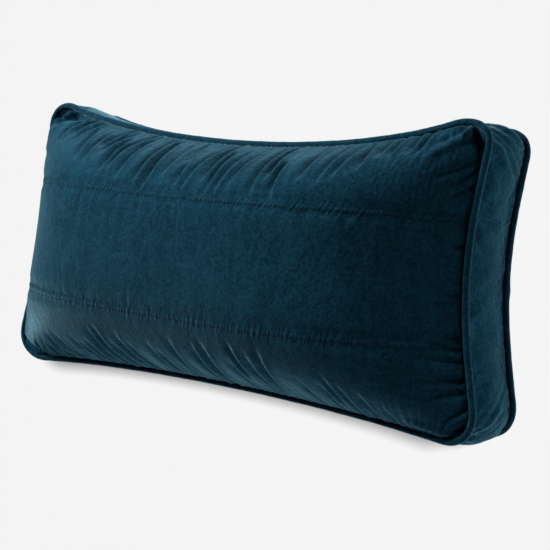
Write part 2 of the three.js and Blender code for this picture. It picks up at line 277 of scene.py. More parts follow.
# Topstitching: how long a stitch is, how far apart they start, how thick the thread is, and
# how far from the row's ends it stops. A stitch dives into the cloth at both ends: the
# shares of its length and the heights over the cloth.
STITCH_LENGTH, STITCH_PITCH, THREAD_RADIUS, STITCHED_FROM = 3.2, 4.3, 0.3, 14.0
STITCH_SHARES = (0.0, 0.16, 0.5, 0.84, 1.0)
STITCH_HEIGHTS = (-0.5, 0.18, 0.34, 0.18, -0.5)
STITCH_SIDES = 5

# Each fan of the band: its number of folds, how far apart they start, where the first one
# starts, its lean across the band and how much more each next one leans.
FAN_FOLDS, FAN_PITCH, FAN_START, FAN_LEAN, FAN_SPREAD = 6, 9.0, -36.0, 38.0, 6.0
# The band's own dents are this far apart, from this far off its opening.
DENT_PITCH, DENTS_FROM = 31.0, 20.0

# The welts' thickness is uneven: how many waves go round, and how high they are.
WELT_WAVES = ((23, 0.10), (61, 0.08), (117, 0.06), (205, 0.05))
# The back welt's cover overlaps at the middle of the right end: place along Y, half width
# and how much thicker it is there.
OVERLAP_PLACE, OVERLAP_HALF, OVERLAP_RISE = -12.0, 9.0, 1.1

COARSE_PASS = (260, 40, 0.010, 0.3)
FINE_PASS = (90, 12, 0.012, 0.2)
BAND_PASS = (150, 30, 0.012, 0.3)
BACK_PASS = (180, 30, 0.012, 0.3)
# A thread across a square's diagonal pulls with this share of a side's strength. The filling
# pulls any way the cloth has strayed with this share of its pull straight out. The cloth
# keeps this share of its drift from step to step.
SHEAR_STRENGTH, SIDE_PULL, KEPT_DRIFT = 0.3, 0.15, 0.9

# How strongly the folds' height goes into the filling, how strongly into the cloth that
# starts on it, and how high the random wrinkles are that it starts with.
FRONT_START = (0.9, 1.15, 0.5)
BACK_START = (0.75, 1.1, 0.4)
BAND_START = (0.7, 1.0, 1.1)
# The back has the front's folds mirrored, this much of their height.
BACK_FOLDS = 0.6

# A gather's profile, in its half widths: how far its gentle and its steep side reach, then
# the crest's height as a share of the depth, its place and its half width.
GENTLE_SIDE, STEEP_SIDE = 1.25, 0.62
CREST_SHARE, CREST_PLACE, CREST_WIDTH = 0.2, 1.5, 0.8

# Facets of the dressed cover. The outermost columns and rows hide under the welt, this far
# in, and rows crowd together this far to either side of a flat seam.
COLUMNS = 356
STRIP_ROWS, SEAM_ROWS, MIDDLE_ROWS = 40, 12, 48
UNDER_WELT, SEAM_ZONE = 5.0, 6.75
GROOVE_STEPS = (-45.0, -22.5, 0.0, 22.5, 45.0)
BAND_ROWS = 20
WELT_SIDES = 16
# The cover's points keep this much more than the gap off the welts.
COVER_CLEARANCE = 0.1

# The camera that the photograph was solved for: place in the drawing's own millimetres,
# look and up.
CAMERA_PLACE = (1388.1, 60.4, 1645.8)
CAMERA_LOOK = (-0.65645, -0.04467, -0.75323)
CAMERA_UP = (-0.10444, 0.99415, 0.03202)
CAMERA_LENS = 88.36

# The studio: half the floor's side in millimetres and its speckles, then places, size and
# aim of the softboxes in metres, and the floor's sun: its heading and its width in degrees.
FLOOR_REACH, SPECKLES_A_METRE = 6000.0, 220.0
SQUARE = ((-1, -1), (1, -1), (1, 1), (-1, 1))
KEY_PLACE, LOW_PLACE, LAMP_AIM = (-1.7, 1.8, 1.95), (0.3, -2.8, 0.35), (0.0, 0.0, 0.15)
SOFTBOX_SIZE = 1.4
SUN_HEADING, SUN_WIDTH = (-0.656, -0.17, -0.753), 7.5


def smoothstep(low, high, x):
    t = np.clip((x - low) / (high - low), 0.0, 1.0)
    return t * t * (3.0 - 2.0 * t)


def lengths(vectors):
    return np.sqrt((vectors * vectors).sum(-1, keepdims=True))


def unit(vectors):
    return vectors / (lengths(vectors) + 1e-12)


def blurred(field, passes):
    """A field averaged with its neighbours, along both sides of the grid."""
    for _ in range(passes):
        for axis in (0, 1):
            reach = [(1, 1) if side == axis else (0, 0) for side in (0, 1)]
            wide = np.moveaxis(np.pad(field, reach, mode="edge"), axis, 0)
            field = np.moveaxis((wide[:-2] + 2.0 * wide[1:-1] + wide[2:]) / 4.0, 0, axis)
    return field


# The shape of the cover


def seam_share(seam, u):
    middle, end = seam
    return end + (middle - end) * (1.0 - np.abs(u) ** SEAM_POWER)


def column_shares():
    edge = UNDER_WELT / HALF_LENGTH
    inner = np.linspace(-1.0 + edge, 1.0 - edge, COLUMNS - 1)
    return np.concatenate([[-1.0], inner, [1.0]])


def cover_grid():
    """u and v of every grid place; the rows follow the two seams and crowd beside them."""
    u = column_shares()
    lower, upper = seam_share(LOWER_SEAM, u), seam_share(UPPER_SEAM, u)
    zone, edge = SEAM_ZONE / HALF_WIDTH, UNDER_WELT / HALF_WIDTH
    one = np.ones_like(u)
    stops = [
        -one,
        (edge - 1.0) * one,
        lower - zone,
        lower + zone,
        upper - zone,
        upper + zone,
        (1.0 - edge) * one,
        one,
    ]
    counts = [1, STRIP_ROWS, SEAM_ROWS, MIDDLE_ROWS, SEAM_ROWS, STRIP_ROWS, 1]
    rows = [-one]
    for k, count in enumerate(counts):
        for n in range(1, count + 1):
            rows.append(stops[k] + (stops[k + 1] - stops[k]) * n / count)
    v = np.stack(rows, axis=1)
    return np.repeat(u[:, None], v.shape[1], axis=1), v


def round_corner(x, y):
    """Squares to quarter discs, so the outline's corners are arcs."""
    over_x = (np.abs(x) - (HALF_LENGTH - CORNER_RADIUS)) / CORNER_RADIUS
    over_y = (np.abs(y) - (HALF_WIDTH - CORNER_RADIUS)) / CORNER_RADIUS
    both = (over_x > 0) & (over_y > 0)
    cut_x = CORNER_RADIUS * over_x * (1 - np.sqrt(np.clip(1 - over_y**2 / 2, 0, 1)))
    cut_y = CORNER_RADIUS * over_y * (1 - np.sqrt(np.clip(1 - over_x**2 / 2, 0, 1)))
    return (
        x - np.sign(x) * np.where(both, cut_x, 0.0),
        y - np.sign(y) * np.where(both, cut_y, 0.0),
    )


def welt_sheet(side, u, v):
    """The surface that one welt lies in, with its drawn-in edges and pulled corners."""
    x, y = round_corner(u * HALF_LENGTH, v * HALF_WIDTH)
    along, across = x / HALF_LENGTH, y / HALF_WIDTH
    far_y = np.clip(1.0 - along**2, 0, 1)
    far_x = np.clip(1.0 - across**2, 0, 1)

    def pick(chosen, name, first, second):
        return np.where(chosen, first[name], second[name])

    upper, right = across > 0, along > 0
    weight_y = pick(upper, "skew", TOP_EDGE, BOTTOM_EDGE) * along + 1
    weight_x = pick(right, "skew", RIGHT_EDGE, LEFT_EDGE) * across + 1
    spread_y = far_y ** pick(upper, "power", TOP_EDGE, BOTTOM_EDGE)
    spread_x = far_x ** pick(right, "power", RIGHT_EDGE, LEFT_EDGE)
    drawn_y = pick(upper, "drawn_in", TOP_EDGE, BOTTOM_EDGE)
    drawn_x = pick(right, "drawn_in", RIGHT_EDGE, LEFT_EDGE)
    bow_y = pick(upper, "bow", TOP_EDGE, BOTTOM_EDGE)
    bow_x = pick(right, "bow", RIGHT_EDGE, LEFT_EDGE)
    x = x - drawn_x * spread_x * weight_x * along
    y = y - drawn_y * spread_y * weight_y * across
    z = bow_y * spread_y * np.abs(across) ** 3 + bow_x * spread_x * np.abs(along) ** 3
    for side_u, side_v, pull_x, pull_y, pull_z in CORNER_PULLS:
        share = ((1 + side_u * along) * (1 + side_v * across) / 4) ** 2
        x, y, z = x + pull_x * share, y + pull_y * share, z + pull_z * share
    if side == BACK:
        for side_u, side_v, pull_x, pull_y in BACK_CORNER_PULLS:
            share = ((1 + side_u * along) * (1 + side_v * across) / 4) ** 3
            x, y = x + pull_x * share, y + pull_y * share
    return np.stack([x, y, z], axis=-1)


def slack_corner(corner, u, v):
    """0 at a corner of the front, 1 along the far side of its slack triangle."""
    side_u, side_v, long, tall = corner
    return (1 - side_u * u) * HALF_LENGTH / long + (1 - side_v * v) * HALF_WIDTH / tall


def crown_share(side, u, v):
    power = np.where((u < 0) & (side == FRONT), CROWN_LEFT, CROWN_ALONG)
    along = np.clip(1 - np.abs(u) ** power, 0, 1)
    across = np.clip(1 - np.abs(v) ** CROWN_ACROSS, 0, 1)
    filled = (along * across) ** CROWN_FULLNESS
    if side == FRONT:
        for corner in SLACK_CORNERS:
            filled = filled * smoothstep(0.8, 1.2, slack_corner(corner, u, v))
    return filled


def panel(side, u, v):
    """A smooth panel. The back one eases into the surface at height 0."""
    points = welt_sheet(side, u, v)
    if side == FRONT:
        dome = np.clip(1 - u**2, 0, 1) * np.clip(1 - v**2, 0, 1)
        points[..., 2] += BACK_HEIGHT + BAND_DEPTH
        points[..., 2] += FRONT_CROWN * crown_share(FRONT, u, v) + FRONT_DOME * dome
        return points
    height = points[..., 2] + BACK_HEIGHT - BACK_CROWN * crown_share(BACK, u, v)
    eased = np.clip(height + CONTACT_EASE, 0, None) ** 2 / (4 * CONTACT_EASE)
    points[..., 2] = np.where(height < CONTACT_EASE, eased, height)
    return points


def grid_normals(points):
    normals = np.cross(np.gradient(points, axis=0), np.gradient(points, axis=1))
    return unit(normals)


def trough(aside, half):
    """A trough that falls away gently from its - side and rises steeply on its + side."""
    q = aside / half
    gentle = np.exp(-np.clip(-q / GENTLE_SIDE, 0, None) ** 1.7)
    steep = np.exp(-np.clip(q / STEEP_SIDE, 0, None) ** 2)
    crest = CREST_SHARE * np.exp(-(((q - CREST_PLACE) / CREST_WIDTH) ** 2))
    return -gentle * steep + crest


def edge_places(edge, u, v):
    """The share along an edge, half its length, the distance in from it and its sign."""
    sign = 1 if edge in ("top", "right") else -1
    if edge in ("top", "bottom"):
        return u, HALF_LENGTH, (1 - sign * v) * HALF_WIDTH, sign
    return v, HALF_WIDTH, (1 - sign * u) * HALF_LENGTH, sign


def fold_height(u, v):
    """Height of the gathers that run in from the edges."""
    height = np.zeros_like(u)
    for edge, folds in EDGE_FOLDS.items():
        share_along, half_edge, inward, _ = edge_places(edge, u, v)
        for first, halfway, last, near, far, half, depth in folds:
            run = np.clip((inward - near) / (far - near), -0.2, 1.2)
            bend = 2 * (first + last - 2 * halfway)
            place = first + (last - first - bend) * run + bend * run**2
            fade = smoothstep(near - 5, near + 8, inward) * (1 - smoothstep(0.4, 1.05, run))
            widened = half * (0.75 + 0.5 * np.clip(run, 0, 1))
            height += depth * fade * trough((share_along - place) * half_edge, widened)
    return height


def fine_gathers(u, v):
    """Height of the short gathers that fill in between the drawn ones."""
    random = np.random.default_rng(17)
    height = np.zeros_like(u)
    for edge, pitch, longest, deepest, slant in FINE_GATHERS:
        share_along, half_edge, inward, sign = edge_places(edge, u, v)
        at = -0.9 * half_edge
        while at < 0.9 * half_edge:
            reach = longest * random.uniform(0.3, 1.0)
            depth = deepest * random.uniform(0.3, 1.0)
            half = random.uniform(2.9, 4.4)
            lean = slant + random.uniform(-0.12, 0.12)
            aside = share_along * half_edge - at - sign * lean * inward
            fade = smoothstep(1, 9, inward) * (1 - smoothstep(0.3, 1, inward / reach))
            height += depth * fade * trough(aside, half)
            at += pitch * random.uniform(0.65, 1.5)
    return height


def tuck_height(u, v):
    """Height of the tucks at the corners."""
    height = np.zeros_like(u)
    for start_u, start_v, heading, length, half, depth in CORNER_TUCKS:
        run_x, run_y = math.cos(math.radians(heading)), math.sin(math.radians(heading))
        off_x = (u - start_u) * HALF_LENGTH
        off_y = (v - start_v) * HALF_WIDTH
        along = off_x * run_x + off_y * run_y
        aside = off_y * run_x - off_x * run_y
        fade = smoothstep(-8, 5, along) * (1 - smoothstep(0.55, 1, along / length))
        height -= depth * fade * np.exp(-((aside / half) ** 2))
    return height


def seam_dip(u, v):
    """The broad dip of the two flat seams in the filling."""
    reach = 2.4 * STITCH_ROWS_APART
    height = np.zeros_like(u)
    for seam in (UPPER_SEAM, LOWER_SEAM):
        away = np.abs(v - seam_share(seam, u)) * HALF_WIDTH
        height -= SEAM_DEPTH * (1 - smoothstep(STITCH_ROWS_APART / 2, reach, away))
    return height


# Cloth on its filling


def settle(cloth, filling, slack_u, slack_v, how, floor=None):
    """Lets a grid of cloth settle on its filling, and returns where it lies.

    Every thread between two grid points keeps its own length: the filling's length there
    and the share of slack that the gathers put into it. The filling pulls each point back
    towards it, and threads that span two points keep the cloth from creasing too tightly.
    The rim is sewn down and doesn't move.
    """
    steps, quick_steps, firmness, stiffness = how
    free = np.zeros(cloth.shape[:2])
    free[1:-1, 1:-1] = 1.0
    weight = free[..., None]
    slack = (slack_u + slack_v) / 2
    every = np.s_
    threads = []

    def add(first, second, strength, excess):
        count = tuple(min(a, b) for a, b in zip(free[first].shape, free[second].shape))
        cut = every[: count[0], : count[1]]
        span = lengths(filling[first][cut] - filling[second][cut])
        rest = span * (1 + (excess[first][cut] + excess[second][cut])[..., None] / 2)
        near, far = weight[first][cut], weight[second][cut]
        share = strength / np.maximum(near + far, 1.0)
        threads.append((first, second, cut, rest, near * share, far * share))

    for odd in (0, 1):
        add(every[odd::2], every[odd + 1 :: 2], 1.0, slack_u)
        add(every[:, odd::2], every[:, odd + 1 :: 2], 1.0, slack_v)
    for odd in (0, 1):
        add(every[odd::2, :-1], every[odd + 1 :: 2, 1:], SHEAR_STRENGTH, slack)
        add(every[odd::2, 1:], every[odd + 1 :: 2, :-1], SHEAR_STRENGTH, slack)
    for odd in range(4):
        add(every[odd::4], every[odd + 2 :: 4], stiffness, slack_u)
        add(every[:, odd::4], every[:, odd + 2 :: 4], stiffness, slack_v)

    cloth = cloth.copy()
    drift = np.zeros_like(cloth)
    for _ in range(steps):
        normal = grid_normals(cloth)
        lack = filling - cloth
        pull = firmness * (normal * (lack * normal).sum(-1, keepdims=True) + SIDE_PULL * lack)
        moved = cloth + (KEPT_DRIFT * drift + pull) * weight
        for first, second, cut, rest, near, far in threads:
            one, other = moved[first][cut], moved[second][cut]
            gap = other - one
            size = lengths(gap) + 1e-12
            fix = gap * ((size - rest) / size)
            one += fix * near
            other -= fix * far
        if floor is not None:
            moved[..., 2] = np.maximum(moved[..., 2], floor)
        drift = (moved - cloth) * weight
        cloth = np.where(weight > 0, moved, cloth)
    return cloth


def every_second(grid):
    return grid[::2, ::2]


def sewn_to(cloth, edge):
    """Puts the rim of a grid of cloth where another grid's rim is."""
    cloth[[0, -1]], cloth[:, [0, -1]] = edge[[0, -1]], edge[:, [0, -1]]
    return cloth


def finer(coarse):
    """A grid field with a point added between each two, on a smooth curve."""
    for axis in (0, 1):
        rows = np.moveaxis(coarse, axis, 0)
        ends = np.concatenate([2 * rows[:1] - rows[1:2], rows, 2 * rows[-1:] - rows[-2:-1]])
        between = (9 * (ends[1:-2] + ends[2:-1]) - ends[:-3] - ends[3:]) / 16
        mixed = np.empty((2 * len(rows) - 1,) + rows.shape[1:])
        mixed[0::2], mixed[1::2] = rows, between
        coarse = np.moveaxis(mixed, 0, axis)
    return coarse


def edge_distances(points):
    """Distances over the surface from the left, right, bottom and top edges."""
    over_u = lengths(np.diff(points, axis=0))[..., 0]
    over_v = lengths(np.diff(points, axis=1))[..., 0]
    pad_u, pad_v = np.zeros((1, points.shape[1])), np.zeros((points.shape[0], 1))
    left = np.concatenate([pad_u, np.cumsum(over_u, axis=0)])
    right = left[-1:] - left
    bottom = np.concatenate([pad_v, np.cumsum(over_v, axis=1)], axis=1)
    top = bottom[:, -1:] - bottom
    return left, right, bottom, top


def ripple(shape, seed, passes):
    """Even random height over a grid, smooth over a few places, with unit spread."""
    field = np.random.default_rng(seed).standard_normal(shape)
    field = blurred(field, passes)
    return field / field.std()


def slack_shares(points, gathers):
    """Shares of slack along and up the panel; no two gathers of a row are as full."""
    left, right, bottom, top = edge_distances(points)
    along = points[..., 0] / HALF_LENGTH
    full = 1 + 0.35 * np.sin(7.3 * along + 1.0) + 0.25 * np.sin(16.1 * along + 2.2)
    slack_u = gathers["top"] * (1 - smoothstep(0.15, 1, top / gathers["top_reach"]))
    slack_u += gathers["bottom"] * (1 - smoothstep(0.15, 1, bottom / gathers["bottom_reach"]))
    ends = gathers["left"] * (1 - smoothstep(0.1, 1, left / gathers["end_reach"]))
    ends += gathers["right"] * (1 - smoothstep(0.1, 1, right / gathers["end_reach"]))
    return slack_u * full + gathers["all"], ends + gathers["all"]


def sewn_flat(points, smooth):
    """Lays the cloth flat where it enters the seam under the welt."""
    share = 1.0
    for distance, reach in zip(edge_distances(smooth), SEWN_FLAT):
        share = share * smoothstep(1.0, reach, distance)
    return smooth + (points - smooth) * share[..., None]


def gathered_front(u, v, gathers):
    """The front panel: seeded with its folds, then settled coarsely and finely."""
    in_filling, in_cloth, wrinkled = FRONT_START
    smooth = panel(FRONT, u, v)
    normal = grid_normals(smooth)
    shaped = fold_height(u, v) * gathers["fold_share"] + tuck_height(u, v)
    shaped = shaped + fine_gathers(u, v)
    dip = seam_dip(u, v)
    filling = smooth + normal * (dip + in_filling * shaped)[..., None]
    start = every_second(smooth + normal * (dip + in_cloth * shaped)[..., None])
    wrinkles = wrinkled * ripple(start.shape[:2], 7, 2)
    coarse = sewn_to(start + every_second(normal) * wrinkles[..., None], start)
    filled = every_second(filling)
    settled = settle(coarse, filled, *slack_shares(filled, gathers), COARSE_PASS)
    fine = sewn_to(filling + finer(settled - filled), filling)
    settled = settle(fine, filling, *slack_shares(filling, gathers), FINE_PASS)
    lift = ((settled - smooth) * normal).sum(-1)
    crisp = gathers["crispness"] * (lift - blurred(lift, 4))
    return sewn_flat(settled + normal * crisp[..., None], smooth)


def seam_creases(u, v):
    """Height of the short creases that the flat seams draw in on either side."""
    random = np.random.default_rng(29)
    height = np.zeros_like(u)
    for seam, side, longest, slant, deepest, width, step in SEAM_CREASES:
        away = side * (v - seam_share(seam, u)) * HALF_WIDTH - STITCH_ROWS_APART / 2
        at = -0.93 * HALF_LENGTH
        while at < 0.93 * HALF_LENGTH:
            middle = math.exp(-((at / (0.62 * HALF_LENGTH)) ** 4))
            reach = longest * random.uniform(0.2, 1.0) * (0.35 + 0.65 * middle)
            depth = deepest * random.uniform(0.2, 1.0)
            half = width * random.uniform(0.75, 1.25)
            lean = slant + random.uniform(-0.15, 0.15)
            aside = u * HALF_LENGTH - at - lean * away
            fade = smoothstep(-3, 0.6 * width, away) * (1 - smoothstep(0.25, 1, away / reach))
            height += depth * fade * trough(aside, half)
            at += step * random.uniform(0.4, 1.0)
    return height


def seam_places(u, v):
    """Millimetres along and off the nearer flat seam, and how near it is, from 0 to 1."""
    along = u * HALF_LENGTH
    offs = [(v - seam_share(seam, u)) * HALF_WIDTH for seam in (UPPER_SEAM, LOWER_SEAM)]
    off = np.where(np.abs(offs[0]) < np.abs(offs[1]), offs[0], offs[1])
    near = 1 - smoothstep(STITCH_ROWS_APART * 0.45, STITCH_ROWS_APART * 1.7, np.abs(off))
    return along, off, near


def seam_detail(points, u, v, seed):
    """Sinks the stitch rows and raises the little puckers between and beside them."""
    along = np.concatenate([[0.0], np.cumsum(lengths(np.diff(points[:, 0], axis=0))[..., 0])])
    turns = 2 * np.pi * along
    random = np.random.default_rng(seed)
    height = seam_creases(u, v)
    for seam in (UPPER_SEAM, LOWER_SEAM):
        away = (v - seam_share(seam, u)) * HALF_WIDTH
        for row, depth in STITCH_ROWS:
            off = away - row * STITCH_ROWS_APART
            wander = turns / ROW_WAVE + 9 * row + 2 * np.sin(along / ROW_WANDER)
            uneven = 0.65 + 0.35 * np.sin(wander)
            height -= depth * uneven[:, None] * np.exp(-((off / ROW_HALF_WIDTH) ** 2))
        phase = turns / PUCKER_PITCH + np.cumsum(random.normal(0, 0.16, len(along)))
        swell = 0.6 + 0.4 * np.sin(turns / PUCKER_WAVE + random.uniform(0, 6))
        rungs = np.sin(phase[:, None] - 0.4 * away) * swell[:, None]
        raised = PUCKER_LIFT + PUCKER_SWELL * rungs
        height += raised * np.exp(-((away / PUCKER_REACH) ** 2))
    return points + grid_normals(points) * height[..., None]


# Welts, their grooves and the band


def rim_places(columns, rows):
    """Grid places round the rim, anticlockwise seen from the front."""
    right = [(columns, j) for j in range(rows)]
    top = [(i, rows) for i in range(columns, 0, -1)]
    left = [(0, j) for j in range(rows, 0, -1)]
    bottom = [(i, 0) for i in range(columns)]
    return np.array(right + top + left + bottom)


def welt_line(side, u, v, places):
    """The welt's centre line and the level direction out of the pillow beside it."""
    line = panel(side, u, v)[places[:, 0], places[:, 1]]
    tangent = np.roll(line, -1, axis=0) - np.roll(line, 1, axis=0)
    outward = np.stack([tangent[:, 1], -tangent[:, 0], np.zeros(len(line))], axis=-1)
    return line, unit(outward)


def beside(line, outward, distance, degrees):
    angle = np.radians(degrees)
    level = outward * (distance * np.cos(angle))[:, None]
    return line + level + np.array([0.0, 0.0, 1.0]) * (distance * np.sin(angle))[:, None]


def groove_rings(side, line, outward, inner):
    """Five rings round a welt's hidden side, from the panel's edge to the band's."""
    offset = inner - line
    slope = np.degrees(np.arctan2(side * offset[:, 2], -(offset * outward).sum(-1)))
    middle = side * (225.0 - slope / 2)
    distance = np.full(len(line), (WELT_RADIUS + WELT_GAP) / math.cos(math.pi / WELT_SIDES))
    return [beside(line, outward, distance, middle + side * step) for step in GROOVE_STEPS]


def clear_of(points, line, least):
    """Moves points that come too near a welt's centre line out to the least distance."""
    tree = KDTree(len(line))
    for index, place in enumerate(line):
        tree.insert(place, index)
    tree.balance()
    for index, place in enumerate(points):
        centre, _, distance = tree.find(place)
        if distance < least:
            away = place - np.array(centre)
            points[index] = np.array(centre) + away * (least / max(distance, 1e-6))
    return points


def band_sheet(front_edge, back_edge, outward):
    shares = np.linspace(0, 1, BAND_ROWS + 1)
    shares = 0.5 * shares + 0.5 * (0.5 - 0.5 * np.cos(np.pi * shares))
    near_corner = np.abs(front_edge[:, :1] * front_edge[:, 1:2]) / (HALF_LENGTH * HALF_WIDTH)
    bulge = outward * (BAND_BULGE + CORNER_BULGE * near_corner**4)
    rows = [
        front_edge * (1 - s) + back_edge * s + bulge * math.sin(math.pi * s) for s in shares
    ]
    return np.stack(rows, axis=1), shares


def band_fans(run, shares, places, random):
    """Height of the folds that fan out of the band's corners, and how near each column is."""
    height = np.zeros((len(run), len(shares)))
    near_corner = np.zeros(len(run))
    fade = (1 - smoothstep(0.4, 1.0, shares))[None, :]
    for place, (way, full) in zip(places, BAND_FANS):
        near_corner += full * np.exp(-(((run - place) / 55) ** 2))
        for fold in range(FAN_FOLDS):
            at = place + way * (FAN_PITCH * fold + FAN_START + random.uniform(-2.5, 2.5))
            lean = way * (FAN_LEAN + FAN_SPREAD * fold + random.uniform(-5, 5))
            half, depth = random.uniform(6.0, 8.0), random.uniform(2.8, 4.8)
            aside = (run[:, None] - at - lean * shares[None, :] ** 1.1) * way
            height += full * depth * fade * trough(aside, half)
    return height, near_corner


def dented(height, run, shares, fullness, random):
    """The band's height with soft dents pressed in all along it."""
    for at in np.arange(DENTS_FROM, run[-1] - DENTS_FROM, DENT_PITCH):
        at = at + random.uniform(-11, 11)
        lean = random.uniform(-14, 14)
        half, depth = random.uniform(7, 13), random.uniform(1.4, 3.6)
        reach = random.uniform(0.4, 0.9)
        q = (run[:, None] - at - lean * shares[None, :]) / half
        fade = (smoothstep(0, 0.25, shares) * (1 - smoothstep(0.2, reach, shares)))[None, :]
        dent = (1 - q**2) * np.exp(-(q**2) / 2)
        height = height - fullness[:, None] * depth * fade * dent
    return height


def gathered_band(front_edge, back_edge, outward, corners, gathers):
    """The boxing band, opened at the middle of the bottom edge while it settles."""
    sheet, shares = band_sheet(front_edge, back_edge, outward)
    count = len(sheet)
    opening = count - COLUMNS // 2
    order = (np.arange(count + 1) + opening) % count
    filling = sheet[order]
    normal = -grid_normals(filling)
    run = np.concatenate([[0.0], np.cumsum(lengths(np.diff(filling[:, 0], axis=0))[..., 0])])
    random = np.random.default_rng(21)
    places = [run[np.nonzero(order == corner)[0][0]] for corner in corners]
    height, near_corner = band_fans(run, shares, places, random)
    right_end = smoothstep(0.8, 0.95, filling[:, 0, 0] / HALF_LENGTH)
    height = dented(height, run, shares, 0.3 + 0.7 * right_end, random)
    ends = (smoothstep(0, 12, run) * smoothstep(0, 12, run[-1] - run))[:, None]
    in_filling, in_cloth, wrinkled = BAND_START
    wrinkles = wrinkled * blurred(ripple(height.shape, 5, 3), 6)
    height = height * ends + wrinkles * ends
    height[:, [0, -1]] = 0
    edge = np.minimum(shares, 1 - shares)[None, :]
    slack_u = gathers["band"] * (1 - smoothstep(0.02, 0.42, edge)) * np.ones_like(height)
    slack_u = (slack_u + gathers["band_corner"] * near_corner[:, None]) * ends
    start = filling + normal * (in_cloth * height)[..., None]
    base = filling + normal * (in_filling * height)[..., None]
    settled = settle(start, base, slack_u, 0.01 * np.ones_like(height), BAND_PASS)
    out = np.empty_like(sheet)
    out[order[:-1]] = settled[:-1]
    return out


def gathered_back(u, v, gathers):
    """The back panel at half the front's fineness, lying on the surface."""
    in_filling, in_cloth, wrinkled = BACK_START
    smooth = panel(BACK, u, v)
    normal = -grid_normals(smooth)
    off_floor = smoothstep(0, 25, smooth[..., 2])
    shaped = BACK_FOLDS * (fold_height(-u, v) + tuck_height(-u, v)) * off_floor
    filling = smooth + normal * (in_filling * shaped)[..., None]
    start = smooth + normal * (in_cloth * shaped)[..., None]
    start = start + normal * (wrinkled * off_floor * ripple(u.shape, 11, 2))[..., None]
    start, filling = sewn_to(start, smooth), sewn_to(filling, smooth)
    slack = slack_shares(filling, gathers)
    return sewn_flat(settle(start, filling, *slack, BACK_PASS, floor=0.0), smooth)


# Meshes and materials


def srgb(text, alpha=1.0):
    """A colour written as sRGB hex, in the linear values that Blender works in."""
    parts = [int(text[k : k + 2], 16) / 255 for k in (1, 3, 5)]
    linear = [p / 12.92 if p <= 0.04045 else ((p + 0.055) / 1.055) ** 2.4 for p in parts]
    return (*linear, alpha)


WHITE = srgb("#ffffff")


def add_node(tree, kind, inputs=None, links=None, **settings):
    """Adds a node with its settings, its sockets' values and the links into it."""
    made = tree.nodes.new(kind)
    for name, value in settings.items():
        setattr(made, name, value)
    for socket, value in (inputs or {}).items():
        made.inputs[socket].default_value = value
    for socket, source in (links or {}).items():
        tree.links.new(source, made.inputs[socket])
    return made


def new_material(name):
    material = bpy.data.materials.new(name)
    material.use_nodes = True
    tree = material.node_tree
    tree.nodes.clear()
    return material, tree


def lit_pieces():
    """The collection that the softboxes light; the floor has a lamp of its own."""
    found = bpy.data.collections.get("pillow_pieces")
    return found or bpy.data.collections.new("pillow_pieces")


def mesh_object(name, points, faces, material):
    mesh = bpy.data.meshes.new(name)
    mesh.from_pydata((np.asarray(points) * MM).tolist(), [], faces)
    mesh.update()
    mesh.validate()
    mesh.shade_smooth()
    mesh.materials.append(material)
    made = bpy.data.objects.new(name, mesh)
    bpy.context.scene.collection.objects.link(made)
    return made


def ring_quads(first, second):
    """Faces between two closed rings of as many points."""
    ahead_first, ahead_second = np.roll(first, -1), np.roll(second, -1)
    return np.stack([first, second, ahead_second, ahead_first], axis=-1).tolist()


